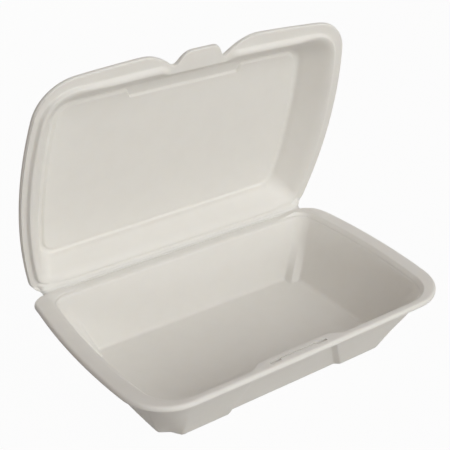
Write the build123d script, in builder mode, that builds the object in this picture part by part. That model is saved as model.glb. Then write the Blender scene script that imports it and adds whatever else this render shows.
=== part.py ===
from build123d import *
import os
from dataclasses import dataclass
from math import hypot, sqrt

# Hinged foam lunch box, modelled open. Millimetres, +Z up, +X along the crease, -Y to the front.
# The origin is the middle of the tray's underside.
# Plan outlines are measured from the crease, so that tray and lid share them when the box is shut.

# Driving dimensions: the whole box
RIM_HEIGHT = 48.5        # underside to the parting plane, where the two rims meet
CREASE_Y = 69.3          # crease behind the middle of the underside
CREASE_DIP = 2.6         # crease below the parting plane
OPEN_ANGLE = 76.25       # how far the lid stands open
SEAM = 0.3               # gap between tray and lid when shut, and along the crease
WALL = 2.8               # foam wall, measured level
FLOOR = 2.8              # foam under the tray and over the lid
CREASE_EDGE = 0.8        # foam left at the pressed crease
EDGE_ROUND = 2.0         # rounding of the tray rim's outer edge
EDGE_BEVEL = 1.3         # bevel of the lid rim's outer edge

# Driving dimensions: tray rim
RIM_DEPTH = 148.8        # crease to the middle of the front edge
RIM_HALF_LENGTH = 121.0
RIM_WIDEST = 70.0        # crease to the widest place
RIM_FRONT_BOW = 0.6
RIM_SIDE_BOW = 6.5
RIM_FRONT_CORNER = 31.5
RIM_EAR = 13.4           # corner beside the crease

# Driving dimensions: step inside the tray rim
FRONT_FLANGE = 4.5
SIDE_FLANGE = 10.3
CREASE_FLANGE = 6.0
CREASE_MARGIN = 1.0      # level foam left between the step and the slope down to the crease
STEP_DEPTH = 2.7
STEP_RUN = 1.0
LEDGE = 2.2
STEP_FRONT_CORNER = 24.0
STEP_BACK_CORNER = 13.0

# Driving dimensions: tray walls
BASE_FRONT = 51.6        # middle of the underside to its front edge
BASE_BACK = 51.5
BASE_HALF_LENGTH = 90.0
BASE_WIDEST = 0.0
BASE_FRONT_BOW = 0.3
BASE_SIDE_BOW = 2.0
BASE_CORNER = 11.0
BASE_ROUND = 1.6         # rounded edge round the underside
FLOOR_ROUND = 3.2        # hollow rounding between floor and walls
PLEAT_DEPTH = 4.6        # corner pleat, from the round corner in to its fold
PLEAT_TOP = 29.0         # height at which a pleat has faded out

# Driving dimensions: set-back middle of the tray's front wall
SETBACK = 2.6
SETBACK_BASE = 43.0      # half length at the underside
SETBACK_TOP = 26.0       # half length under the rim, where it is centred on the lock
SETBACK_RUN = 6.5        # length of each slanted end, seen from above

# Driving dimensions: lock in the tray's front rim
LOCK_X = -9.0
LOCK_BAR = 4.6           # how far the rim widens inwards
LOCK_HALF_LENGTH = 29.0
LOCK_SLANT = 7.0
SLOT_HALF_LENGTH = 21.5
SLOT_WIDTH = 3.0
SLOT_INSET = 4.0         # front edge to the slot
TONGUE_HALF_LENGTH = 13.5
TONGUE_SLIT = 1.1        # slit left between tongue and bar

# Driving dimensions: lid
LID_DEPTH = 19.0         # parting plane to the underside of the lid's top
LID_REACH = 161.5        # crease to the middle of the front edge
LID_HALF_LENGTH = RIM_HALF_LENGTH
LID_WIDEST = 75.0
LID_FRONT_BOW = 7.0
LID_SIDE_BOW = 11.4
LID_FRONT_CORNER = 30.0
LID_BACK_CORNER = 6.0
LID_RIM = 2.6
PANEL_FRONT = 132.0      # crease to the front edge of the lid's top, inside
PANEL_BACK = 15.5
PANEL_HALF_LENGTH = 96.0
PANEL_WIDEST = 72.0
PANEL_FRONT_BOW = 1.0
PANEL_SIDE_BOW = 4.5
PANEL_CORNER = 13.0
PANEL_SINK = 1.4         # how far the top is sunk into the lid
PANEL_MARGIN = 2.4
PANEL_RUN = 1.2
BAY_HALF_LENGTH = 45.0   # stepped-out middle of the lid's front wall, fading out towards the rim
BAY_DEPTH = 2.2
BAY_RUN = 3.0
CEILING_ROUND = 1.2      # bevel between the lid's walls and its top, inside
TOP_ROUND = 2.0          # and outside

# Driving dimensions: bead inside the lid's rim, which rests on the tray's rim
BEAD_DEPTH = 2.2         # how far it stands out of the rim, down to the parting plane
BEAD_FRONT = 155.0       # crease to the foot of its outer slope
BEAD_FLANGE = 5.6        # rim outside the bead at the sides
BEAD_FRONT_BOW = 3.0
BEAD_FRONT_CORNER = 24.0
BEAD_BACK_CORNER = 8.0
BEAD_RUN = 1.7           # width of its outer slope
BEAD_CREST = 1.6
BEAD_GAP = 22.5          # half length of the stretch left out behind the tab

# Driving dimensions: tab and its two notches
TAB_X = -4.0
TAB_END = 10.5           # half widths of the tab and of the notches, from the middle of the tab
TAB_ROOT = 17.8
NOTCH_END = 33.0
NOTCH_DEPTH = 12.4
TAB_SHORT = 2.0          # tab's end behind the rim's front edge
TAB_ROUND = 4.0
NOTCH_ROUND = 2.2
SHOULDER_ROUND = 12.0

# Heights above the underside, and in the shut lid above the crease
CREASE_Z = RIM_HEIGHT - CREASE_DIP
CREASE_SLOPE = CREASE_FLANGE - CREASE_MARGIN
RIM_THICKNESS = CREASE_DIP + CREASE_EDGE
RIM_TOP = RIM_HEIGHT - SEAM / 2
RIM_UNDER = RIM_TOP - RIM_THICKNESS
LEDGE_Z = RIM_TOP - STEP_DEPTH
BEAD_FOOT = CREASE_DIP + SEAM / 2
LID_RIM_UNDER = BEAD_FOOT + BEAD_DEPTH
LID_RIM_TOP = LID_RIM_UNDER + LID_RIM
LID_CEILING = CREASE_DIP + LID_DEPTH
LID_TOP = LID_CEILING + FLOOR
OVERCUT = 1.0            # how far cuts run past what they cut
ROUND_SHARE = 0.3        # place of the middle section in a rounding of three sections
FADED_FLAT = 0.03        # flatness of the two arcs left of a pleat that has faded out

LID_PLANE = Plane((0, CREASE_Y, CREASE_Z)).rotated((-OPEN_ANGLE, 0, 0))
LID_AXIS = Axis(LID_PLANE.origin, LID_PLANE.z_dir)
TRAY_SIDE = Plane((0, CREASE_Y, 0), x_dir=(0, 1, 0), z_dir=(1, 0, 0))
LID_SIDE = Plane(LID_PLANE.origin, x_dir=LID_PLANE.y_dir, z_dir=LID_PLANE.x_dir)


def level(height):
    """Plane of the tray at a height above the underside, with its origin under the crease."""
    return Plane((0, CREASE_Y, height))


def lid_level(height):
    """Plane of the lid at a height above the crease, as the shut lid would have it."""
    return LID_PLANE.offset(height)


def bow_radius(half_chord, bow):
    """Radius of an arc that rises by bow over a chord."""
    return (half_chord**2 + bow**2) / (2 * bow)


@dataclass(frozen=True)
class Outline:
    """Closed plan outline of four gently bowed sides and round corners, every arc tangent to the next."""

    front: float
    back: float
    half_length: float
    widest: float
    front_radius: float
    side_radius: float
    front_corner: float
    back_corner: float

    def inset(self, amount):
        """The outline that runs a constant distance inside this one."""
        return Outline(
            self.front + amount,
            self.back - amount,
            self.half_length - amount,
            self.widest,
            self.front_radius - amount,
            self.side_radius - amount,
            self.front_corner - amount,
            self.back_corner - amount,
        )

    def towards(self, other, share):
        """The outline part of the way to another one."""
        pairs = zip(self.fields(), other.fields())
        return Outline(*[mine + (theirs - mine) * share for mine, theirs in pairs])

    def fields(self):
        """The sizes in order."""
        return (
            self.front,
            self.back,
            self.half_length,
            self.widest,
            self.front_radius,
            self.side_radius,
            self.front_corner,
            self.back_corner,
        )

    def corner_centres(self):
        """Centres of the right-hand front and back corner arcs."""
        side_x = self.half_length - self.side_radius
        front_y = self.front + self.front_radius
        reach = self.front_radius - self.front_corner
        swing = self.side_radius - self.front_corner
        span = hypot(side_x, self.widest - front_y)
        along = (reach**2 - swing**2 + span**2) / (2 * span)
        across = sqrt(reach**2 - along**2)
        unit_x = side_x / span
        unit_y = (self.widest - front_y) / span
        front = (unit_x * along - unit_y * across, front_y + unit_y * along + unit_x * across)
        back_y = self.back - self.back_corner
        tilt = self.side_radius - self.back_corner
        back = (side_x + sqrt(tilt**2 - (back_y - self.widest) ** 2), back_y)
        return front, back

    def right_points(self):
        """Ends and centres of the right-hand arcs, from the front to the back."""
        front, back = self.corner_centres()
        side = (self.half_length - self.side_radius, self.widest)
        ahead = (0, self.front + self.front_radius)
        front_end = stretch(ahead, front, self.front_radius)
        side_start = stretch(side, front, self.side_radius)
        side_end = stretch(side, back, self.side_radius)
        back_start = (back[0], self.back)
        return front_end, front, side_start, side_end, back, back_start


def stretch(start, through, length):
    """Point at a given length from start, on the ray that goes through another point."""
    dx = through[0] - start[0]
    dy = through[1] - start[1]
    share = length / hypot(dx, dy)
    return (start[0] + dx * share, start[1] + dy * share)


def between(centre, first, second, radius):
    """Point half way along the arc between two points of a circle."""
    middle = ((first[0] + second[0]) / 2, (first[1] + second[1]) / 2)
    return stretch(centre, middle, radius)


def mirrored(point):
    """The same point on the other side of the middle."""
    return (-point[0], point[1])


def corner(first, centre, second, radius, pleat):
    """Draws a corner as one arc, or in a pleated section as two flanks that meet in a fold."""
    stops = [first, second]
    if pleat is not None:
        stops.insert(1, between(centre, first, second, radius - pleat))
    for start, end in zip(stops, stops[1:]):
        if pleat:
            Line(start, end)
        else:
            flat = 0 if pleat is None else FADED_FLAT
            ThreePointArc(start, between(centre, start, end, radius - flat), end)


def plan(plane, outline, pleat=None):
    """Face of an outline on a plane, with a pleat of the given depth in each corner if there is one."""
    front_end, front, side_start, side_end, back, back_start = outline.right_points()
    broad = (outline.half_length, outline.widest)
    with BuildSketch(plane) as face:
        with BuildLine():
            ThreePointArc(mirrored(front_end), (0, outline.front), front_end)
            corner(front_end, front, side_start, outline.front_corner, pleat)
            ThreePointArc(side_start, broad, side_end)
            corner(side_end, back, back_start, outline.back_corner, pleat)
            Line(back_start, mirrored(back_start))
            corner(mirrored(back_start), mirrored(back), mirrored(side_end), outline.back_corner, pleat)
            ThreePointArc(mirrored(side_end), mirrored(broad), mirrored(side_start))
            corner(mirrored(side_start), mirrored(front), mirrored(front_end), outline.front_corner, pleat)
        make_face()
    return face.sketch


def trapezoid(plane, middle, near_half, near_y, far_half, far_y):
    """Face with two edges along X, at near_y and far_y, each with its own half length."""
    with BuildSketch(plane) as face:
        with BuildLine():
            Polyline(
                (middle - near_half, near_y),
                (middle + near_half, near_y),
                (middle + far_half, far_y),
                (middle - far_half, far_y),
                close=True,
            )
        make_face()
    return face.sketch


def profile(plane, *points):
    """Face of a closed polygon."""
    with BuildSketch(plane) as face:
        with BuildLine():
            Polyline(*points, close=True)
        make_face()
    return face.sketch


def slot_face():
    """Slot in the front rim, narrowed to a slit by the tongue in its middle."""
    front = RIM.front + SLOT_INSET
    tongue = SLOT_WIDTH - TONGUE_SLIT
    with BuildSketch(level(RIM_UNDER)) as face:
        with Locations((LOCK_X, front + SLOT_WIDTH / 2)):
            Rectangle(2 * SLOT_HALF_LENGTH, SLOT_WIDTH)
        with Locations((LOCK_X, front + tongue / 2)):
            Rectangle(2 * TONGUE_HALF_LENGTH, tongue, mode=Mode.SUBTRACT)
    return face.sketch


def lid_rim_face():
    """Lid rim seen from above, with the tab left standing between two notches."""
    with BuildSketch(lid_level(LID_RIM_UNDER)) as face:
        add(plan(Plane.XY, LID_EDGE))
        with BuildLine():
            Polyline(
                (TAB_X - NOTCH_END, -LID_REACH - OVERCUT),
                (TAB_X - TAB_ROOT, -LID_REACH + NOTCH_DEPTH),
                (TAB_X - TAB_END, -LID_REACH + TAB_SHORT),
                (TAB_X + TAB_END, -LID_REACH + TAB_SHORT),
                (TAB_X + TAB_ROOT, -LID_REACH + NOTCH_DEPTH),
                (TAB_X + NOTCH_END, -LID_REACH - OVERCUT),
                close=True,
            )
        make_face(mode=Mode.SUBTRACT)
        for first, radius in ((4, SHOULDER_ROUND), (2, NOTCH_ROUND), (0, TAB_ROUND)):
            ranked = face.vertices().sort_by(lambda vertex: abs(vertex.X - TAB_X))
            fillet(ranked[first : first + 2], radius)
    return face.sketch


def bead_gap_face():
    """Stretch of the bead that is left out behind the tab."""
    width = BEAD_RUN + BEAD_CREST
    with BuildSketch(lid_level(BEAD_FOOT - OVERCUT)) as face:
        with Locations((TAB_X, BEAD.front + width / 2)):
            Rectangle(2 * BEAD_GAP, 2 * width)
    return face.sketch


def sunken_top(height, above):
    """Two sections of the sunken part of the lid's top, from its bottom to just above a surface."""
    low = plan(lid_level(height - PANEL_SINK), PANEL.inset(PANEL_MARGIN + PANEL_RUN))
    spread = PANEL_RUN * above / PANEL_SINK
    high = plan(lid_level(height + above), PANEL.inset(PANEL_MARGIN - spread))
    return [low, high]


# Plan outlines
RIM = Outline(
    front=-RIM_DEPTH,
    back=-SEAM / 2,
    half_length=RIM_HALF_LENGTH,
    widest=-RIM_WIDEST,
    front_radius=bow_radius(RIM_HALF_LENGTH, RIM_FRONT_BOW),
    side_radius=bow_radius(RIM_DEPTH / 2, RIM_SIDE_BOW),
    front_corner=RIM_FRONT_CORNER,
    back_corner=RIM_EAR,
)
STEP = Outline(
    front=RIM.front + FRONT_FLANGE,
    back=-CREASE_FLANGE,
    half_length=RIM.half_length - SIDE_FLANGE,
    widest=RIM.widest,
    front_radius=RIM.front_radius - FRONT_FLANGE,
    side_radius=RIM.side_radius - SIDE_FLANGE,
    front_corner=STEP_FRONT_CORNER,
    back_corner=STEP_BACK_CORNER,
)
BROW = STEP.inset(STEP_RUN + LEDGE - WALL)
BASE = Outline(
    front=-CREASE_Y - BASE_FRONT,
    back=-CREASE_Y + BASE_BACK,
    half_length=BASE_HALF_LENGTH,
    widest=-CREASE_Y + BASE_WIDEST,
    front_radius=bow_radius(BASE_HALF_LENGTH, BASE_FRONT_BOW),
    side_radius=bow_radius((BASE_FRONT + BASE_BACK) / 2, BASE_SIDE_BOW),
    front_corner=BASE_CORNER,
    back_corner=BASE_CORNER,
)
LID_EDGE = Outline(
    front=-LID_REACH,
    back=-SEAM / 2,
    half_length=LID_HALF_LENGTH,
    widest=-LID_WIDEST,
    front_radius=bow_radius(LID_HALF_LENGTH, LID_FRONT_BOW),
    side_radius=bow_radius(LID_REACH / 2, LID_SIDE_BOW),
    front_corner=LID_FRONT_CORNER,
    back_corner=LID_BACK_CORNER,
)
BEAD = Outline(
    front=-BEAD_FRONT,
    back=BEAD_RUN - CREASE_SLOPE,
    half_length=LID_EDGE.half_length - BEAD_FLANGE,
    widest=LID_EDGE.widest,
    front_radius=bow_radius(LID_HALF_LENGTH, BEAD_FRONT_BOW),
    side_radius=LID_EDGE.side_radius - BEAD_FLANGE,
    front_corner=BEAD_FRONT_CORNER,
    back_corner=BEAD_BACK_CORNER,
)
PANEL = Outline(
    front=-PANEL_FRONT,
    back=-PANEL_BACK,
    half_length=PANEL_HALF_LENGTH,
    widest=-PANEL_WIDEST,
    front_radius=bow_radius(PANEL_HALF_LENGTH, PANEL_FRONT_BOW),
    side_radius=bow_radius((PANEL_FRONT - PANEL_BACK) / 2, PANEL_SIDE_BOW),
    front_corner=PANEL_CORNER,
    back_corner=PANEL_CORNER,
)


def tray_wall(height):
    """Outer outline of the tray's walls at a height, without pleats."""
    return BASE.towards(BROW, height / LEDGE_Z)


def pleat_at(height):
    """Depth of the corner pleats at a height."""
    return PLEAT_DEPTH * (1 - height / PLEAT_TOP)


def lid_wall(height):
    """Inner outline of the lid's walls at a height above the crease."""
    share = (height - BEAD_FOOT) / (LID_CEILING - BEAD_FOOT)
    return BEAD.inset(BEAD_RUN + BEAD_CREST).towards(PANEL, share)


def tray_section(height, inset):
    """Section of the tray's wall at a height, a distance inside its outer face."""
    pleat = pleat_at(height) if height < PLEAT_TOP else 0.0
    return plan(level(height), tray_wall(height).inset(inset), pleat)


def setback_face(height, wall):
    """Section of the space in front of the set-back wall, for the outer or the inner face."""
    half = SETBACK_BASE + (SETBACK_TOP - SETBACK_BASE) * height / LEDGE_Z
    front = tray_wall(height).front + wall
    reach = SETBACK + OVERCUT
    spread = SETBACK_RUN * reach / SETBACK
    middle = LOCK_X * height / LEDGE_Z
    return trapezoid(level(height), middle, half, front + SETBACK, half + spread, front + SETBACK - reach)


def bay_face(height, wall):
    """Section of the stepped-out middle of the lid's front wall, for the inner or the outer face."""
    front = lid_wall(height).front - wall
    depth = BAY_DEPTH * (height - LID_RIM_TOP) / (LID_CEILING - LID_RIM_TOP)
    spread = BAY_RUN * (depth + WALL) / BAY_DEPTH
    root = BAY_HALF_LENGTH + spread
    return trapezoid(lid_level(height), 0, BAY_HALF_LENGTH, front - depth, root, front + WALL)


# Tray: the space inside the walls
with BuildPart() as tray_space:
    loft(
        [
            tray_section(FLOOR, WALL + FLOOR_ROUND),
            tray_section(FLOOR + ROUND_SHARE * FLOOR_ROUND, WALL + ROUND_SHARE * FLOOR_ROUND),
            tray_section(FLOOR + FLOOR_ROUND, WALL),
            tray_section(PLEAT_TOP, WALL),
            tray_section(LEDGE_Z, WALL),
        ],
        ruled=True,
    )
    loft([setback_face(0, WALL), setback_face(LEDGE_Z, WALL)], ruled=True, mode=Mode.SUBTRACT)
    loft([plan(level(LEDGE_Z), STEP.inset(STEP_RUN)), plan(level(RIM_TOP), STEP)], ruled=True)

# Tray: walls and rim, hollowed
with BuildPart() as tray:
    loft(
        [
            tray_section(0, BASE_ROUND),
            tray_section(ROUND_SHARE * BASE_ROUND, ROUND_SHARE * BASE_ROUND),
            tray_section(BASE_ROUND, 0),
            tray_section(PLEAT_TOP, 0),
            tray_section(LEDGE_Z, 0),
        ],
        ruled=True,
    )
    loft([setback_face(0, 0), setback_face(LEDGE_Z, 0)], ruled=True, mode=Mode.SUBTRACT)
    extrude(plan(level(RIM_UNDER), RIM), amount=RIM_THICKNESS)
    top_edges = tray.edges().group_by(Axis.Z)[-1].filter_by(lambda edge: edge.center().Y < CREASE_Y - SEAM)
    fillet(top_edges, EDGE_ROUND)
    add(tray_space.part, mode=Mode.SUBTRACT)
    # Rear of the rim, sloping down to the crease
    extrude(
        profile(
            TRAY_SIDE,
            (-CREASE_SLOPE, RIM_TOP),
            (-SEAM / 2, CREASE_Z - SEAM / 2),
            (OVERCUT, CREASE_Z - SEAM / 2),
            (OVERCUT, RIM_TOP + OVERCUT),
            (-CREASE_SLOPE, RIM_TOP + OVERCUT),
        ),
        amount=RIM_HALF_LENGTH,
        both=True,
        mode=Mode.SUBTRACT,
    )
    # Lock: the rim widens inwards, and a slot with a tongue is cut through it
    lock_half = LOCK_HALF_LENGTH + LOCK_SLANT
    lock_root = STEP.front - OVERCUT
    extrude(
        trapezoid(level(RIM_UNDER), LOCK_X, lock_half, lock_root, LOCK_HALF_LENGTH, STEP.front + LOCK_BAR),
        amount=RIM_THICKNESS,
    )
    extrude(slot_face(), amount=RIM_THICKNESS + OVERCUT, both=True, mode=Mode.SUBTRACT)

# Lid: the space inside its walls, with the sunken top standing into it
with BuildPart() as lid_space:
    extrude(plan(lid_level(BEAD_FOOT - OVERCUT), lid_wall(BEAD_FOOT)), amount=OVERCUT)
    loft(
        [
            plan(lid_level(BEAD_FOOT), lid_wall(BEAD_FOOT)),
            plan(lid_level(LID_CEILING - CEILING_ROUND), lid_wall(LID_CEILING - CEILING_ROUND)),
            plan(lid_level(LID_CEILING), lid_wall(LID_CEILING).inset(CEILING_ROUND)),
        ],
        ruled=True,
    )
    loft([bay_face(LID_RIM_UNDER, 0), bay_face(LID_CEILING, 0)], ruled=True)
    loft(sunken_top(LID_CEILING, OVERCUT), ruled=True, mode=Mode.SUBTRACT)

# Lid: rim with the tab between its notches, then the bead, the walls and the top
with BuildPart() as lid:
    extrude(lid_rim_face(), amount=LID_RIM)
    inner_edges = lid.edges().group_by(LID_AXIS)[0]
    chamfer(inner_edges.filter_by(lambda edge: LID_PLANE.to_local_coords(edge.center()).Y < -SEAM), EDGE_BEVEL)
    loft([plan(lid_level(BEAD_FOOT), BEAD.inset(BEAD_RUN)), plan(lid_level(LID_RIM_UNDER), BEAD)], ruled=True)
    extrude(bead_gap_face(), amount=BEAD_DEPTH + OVERCUT, mode=Mode.SUBTRACT)
    loft(
        [
            plan(lid_level(LID_RIM_UNDER), lid_wall(LID_RIM_UNDER).inset(-WALL)),
            plan(lid_level(LID_TOP - TOP_ROUND), lid_wall(LID_TOP - TOP_ROUND).inset(-WALL)),
            plan(lid_level(LID_TOP), lid_wall(LID_TOP).inset(TOP_ROUND - WALL)),
        ],
        ruled=True,
    )
    loft([bay_face(LID_RIM_UNDER, WALL), bay_face(LID_TOP - TOP_ROUND, WALL)], ruled=True)
    loft(sunken_top(LID_TOP, OVERCUT), ruled=True, mode=Mode.SUBTRACT)
    add(lid_space.part, mode=Mode.SUBTRACT)
    # Rear of the rim, sloping down to the crease and thinned from outside
    crease_half = LID_EDGE.right_points()[-1][0]
    extrude(
        profile(
            LID_SIDE,
            (-CREASE_SLOPE, BEAD_FOOT),
            (-SEAM / 2, SEAM / 2),
            (-SEAM / 2, SEAM / 2 + CREASE_EDGE),
            (-CREASE_SLOPE, LID_RIM_TOP),
        ),
        amount=crease_half,
        both=True,
    )
    extrude(
        profile(
            LID_SIDE,
            (-CREASE_SLOPE, LID_RIM_TOP),
            (-SEAM / 2, SEAM / 2 + CREASE_EDGE),
            (OVERCUT, SEAM / 2 + CREASE_EDGE),
            (OVERCUT, LID_RIM_TOP + OVERCUT),
            (-CREASE_SLOPE, LID_RIM_TOP + OVERCUT),
        ),
        amount=LID_HALF_LENGTH,
        both=True,
        mode=Mode.SUBTRACT,
    )

os.makedirs("parts", exist_ok=True)
tray.part.label = "tray"
lid.part.label = "lid"
export_step(tray.part, "parts/tray.step")
export_step(lid.part, "parts/lid.step")
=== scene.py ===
"""Looks of a hinged foam lunch box: two pressed foam halves and the crease between them, in a pale studio."""

import logging
import math
from dataclasses import dataclass, replace
from enum import Enum
from typing import Callable, Sequence

import bpy
from mathutils import Matrix, Vector

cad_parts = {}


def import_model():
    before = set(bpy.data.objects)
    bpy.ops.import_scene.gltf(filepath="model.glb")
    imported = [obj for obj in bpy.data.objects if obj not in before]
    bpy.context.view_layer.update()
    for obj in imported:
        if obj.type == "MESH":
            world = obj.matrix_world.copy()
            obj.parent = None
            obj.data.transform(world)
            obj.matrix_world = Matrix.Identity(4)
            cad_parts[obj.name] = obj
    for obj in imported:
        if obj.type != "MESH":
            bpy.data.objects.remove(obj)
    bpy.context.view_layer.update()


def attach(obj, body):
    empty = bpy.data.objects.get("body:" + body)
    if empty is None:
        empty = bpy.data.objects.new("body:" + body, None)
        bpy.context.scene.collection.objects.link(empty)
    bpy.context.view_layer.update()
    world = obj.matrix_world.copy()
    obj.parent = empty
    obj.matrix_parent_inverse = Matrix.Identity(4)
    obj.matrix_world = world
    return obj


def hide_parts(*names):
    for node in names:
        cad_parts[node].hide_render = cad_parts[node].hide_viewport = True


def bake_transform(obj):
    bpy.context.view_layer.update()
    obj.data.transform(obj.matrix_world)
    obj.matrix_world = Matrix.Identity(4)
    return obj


LOG = logging.getLogger("foam_box")
MM = 0.001
WHITE = (1.0, 1.0, 1.0, 1.0)

Flat = tuple[float, float]
Point = tuple[float, float, float]
Colour = tuple[float, float, float]
Steps = tuple[float, ...]
Profile = tuple[Flat, ...]
Ring = list[Point]


class Body(Enum):
    """The two bodies that the crease joins."""

    TRAY = "tray"
    LID = "lid"


def lerp(first: float, second: float, share: float) -> float:
    """Value part of the way from one number to another."""
    return first + (second - first) * share


def blend_points(first: Flat, second: Flat, share: float) -> Flat:
    """Point part of the way from one flat point to another."""
    return lerp(first[0], second[0], share), lerp(first[1], second[1], share)


def held(share: float) -> float:
    """Share kept between 0 and 1."""
    return min(max(share, 0.0), 1.0)


def smooth(share: float) -> float:
    """Eased step from 0 to 1 for a share that may lie outside them."""
    inside = held(share)
    return inside * inside * (3 - 2 * inside)


def soft_max(first: float, second: float, width: float) -> float:
    """Larger of two numbers, with a rounded change-over of the given width."""
    near = max(width - abs(first - second), 0.0) / width
    return max(first, second) + near * near * width / 4


def soft_min(first: float, second: float, width: float) -> float:
    """Smaller of two numbers, with a rounded change-over of the given width."""
    return -soft_max(-first, -second, width)


def bow_radius(half_chord: float, bow: float) -> float:
    """Radius of an arc that rises by bow over a chord."""
    return (half_chord**2 + bow**2) / (2 * bow)


def quarter(radius: float, degrees: float) -> Flat:
    """Distances of a rounded edge from its upright and its level face, at an angle round it."""
    angle = math.radians(degrees)
    return radius * (1 - math.sin(angle)), radius * (1 - math.cos(angle))


def stretch(start: Flat, through: Flat, length: float) -> Flat:
    """Point on a ray, at a given length from its start.

    Args:
        start: Where the ray starts.
        through: Another point of the ray.
        length: How far along the ray the point lies.

    Returns:
        The point.
    """
    run_x = through[0] - start[0]
    run_y = through[1] - start[1]
    share = length / math.hypot(run_x, run_y)
    return start[0] + run_x * share, start[1] + run_y * share


def arc(centre: Flat, first: Flat, second: Flat, count: int) -> list[Flat]:
    """Points along an arc, with its start and without its end.

    Args:
        centre: Centre of the arc.
        first: Where the arc starts.
        second: Where it ends, less than half a turn on.
        count: How many points to give.

    Returns:
        The points in order.
    """
    begin = math.atan2(first[1] - centre[1], first[0] - centre[0])
    turn = math.atan2(second[1] - centre[1], second[0] - centre[0]) - begin
    turn = (turn + math.pi) % (2 * math.pi) - math.pi
    radius = math.hypot(first[0] - centre[0], first[1] - centre[1])
    angles = [begin + turn * step / count for step in range(count)]
    return [(centre[0] + radius * math.cos(a), centre[1] + radius * math.sin(a)) for a in angles]


@dataclass(frozen=True)
class Columns:
    """How many points a ring has along each of its stretches."""

    front: tuple[int, ...]
    corner: int = 14
    side: int = 28
    back: int = 26

    @property
    def front_count(self) -> int:
        """Points along the front."""
        return sum(self.front)

    @property
    def total(self) -> int:
        """Points in the whole ring."""
        return self.front_count + 4 * self.corner + 2 * self.side + self.back


@dataclass(frozen=True)
class Outline:
    """Closed plan outline of four gently bowed sides and round corners, in millimetres from the crease."""

    front: float
    back: float
    half_length: float
    widest: float
    front_radius: float
    side_radius: float
    front_corner: float
    back_corner: float

    def sizes(self) -> Steps:
        """The sizes in order."""
        return (
            self.front,
            self.back,
            self.half_length,
            self.widest,
            self.front_radius,
            self.side_radius,
            self.front_corner,
            self.back_corner,
        )

    def inset(self, amount: float) -> "Outline":
        """The outline that runs a constant distance inside this one."""
        steps = (amount, -amount, -amount, 0.0, -amount, -amount, -amount, -amount)
        return Outline(*[size + step for size, step in zip(self.sizes(), steps)])

    def towards(self, other: "Outline", share: float) -> "Outline":
        """The outline part of the way to another one."""
        return Outline(*[lerp(a, b, share) for a, b in zip(self.sizes(), other.sizes())])

    def front_y(self, x: float) -> float:
        """Place of the bowed front edge at a place along the box."""
        return self.front + self.front_radius - math.sqrt(self.front_radius**2 - x**2)

    def stops(self) -> tuple[Flat, Flat, Flat, Flat, Flat, Flat]:
        """Ends and centres of the right-hand arcs.

        Returns:
            The end of the front, the centre of the front corner, the start and the end of the side, the
            centre of the back corner and the start of the back.
        """
        side = (self.half_length - self.side_radius, self.widest)
        ahead = (0.0, self.front + self.front_radius)
        reach = self.front_radius - self.front_corner
        swing = self.side_radius - self.front_corner
        span = math.hypot(side[0], side[1] - ahead[1])
        along = (reach**2 - swing**2 + span**2) / (2 * span)
        across = math.sqrt(reach**2 - along**2)
        unit = (side[0] / span, (side[1] - ahead[1]) / span)
        front = (unit[0] * along - unit[1] * across, ahead[1] + unit[1] * along + unit[0] * across)
        back_y = self.back - self.back_corner
        tilt = self.side_radius - self.back_corner
        back = (side[0] + math.sqrt(tilt**2 - (back_y - self.widest) ** 2), back_y)
        front_end = stretch(ahead, front, self.front_radius)
        side_start = stretch(side, front, self.side_radius)
        side_end = stretch(side, back, self.side_radius)
        return front_end, front, side_start, side_end, back, (back[0], self.back)

    def ring(
        self, columns: Columns, anchors: Sequence[float], pleat: float = 0.0, folds: Flat = (0.0, 0.0)
    ) -> list[Flat]:
        """Points round the outline, from the left end of the front.

        Args:
            columns: How many points each stretch has.
            anchors: Places along the front that fall on a column, between its ends.
            pleat: How far the corners have become pleats, from 0 to 1.
            folds: Depth of a full pleat's fold in the front and in the back corners.

        Returns:
            The points in order, the right-hand side first.
        """
        front_end, front_centre, side_start, side_end, back_centre, back_start = self.stops()
        ends = [-front_end[0], *anchors, front_end[0]]
        points: list[Flat] = []
        for start, end, count in zip(ends, ends[1:], columns.front):
            for step in range(count):
                x = lerp(start, end, step / count)
                points.append((x, self.front_y(x)))
        side = (self.half_length - self.side_radius, self.widest)
        right = self.corner(front_end, front_centre, side_start, columns.corner, pleat, folds[0])
        right += arc(side, side_start, side_end, columns.side)
        right += self.corner(side_end, back_centre, back_start, columns.corner, pleat, folds[1])
        left = [(-x, y) for x, y in reversed(right[1:])]
        half = back_start[0]
        rear = [(lerp(half, -half, step / columns.back), self.back) for step in range(columns.back)]
        return points + right + rear + [(-half, self.back)] + left

    @staticmethod
    def corner(
        first: Flat, centre: Flat, second: Flat, count: int, pleat: float, fold: float
    ) -> list[Flat]:
        """Points round one corner, with its start and without its end.

        Args:
            first: Where the corner starts.
            centre: Centre of its arc.
            second: Where it ends.
            count: How many points to give.
            pleat: How far it has become a pleat of two straight flanks, from 0 to 1.
            fold: Depth of a full pleat's fold.

        Returns:
            The points in order.
        """
        points = arc(centre, first, second, count)
        if pleat <= 0:
            return points
        radius = math.hypot(first[0] - centre[0], first[1] - centre[1])
        middle = blend_points(first, second, 0.5)
        crease = stretch(centre, middle, radius - fold)
        half = count // 2
        flanks = [blend_points(first, crease, step / half) for step in range(half)]
        flanks += [blend_points(crease, second, step / (count - half)) for step in range(count - half)]
        return [blend_points(point, flank, pleat) for point, flank in zip(points, flanks)]


def set_inputs(node: bpy.types.Node, values: dict[str, float | Steps]) -> None:
    """Sets named inputs of a node to the given values."""
    for name, value in values.items():
        node.inputs[name].default_value = value


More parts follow.
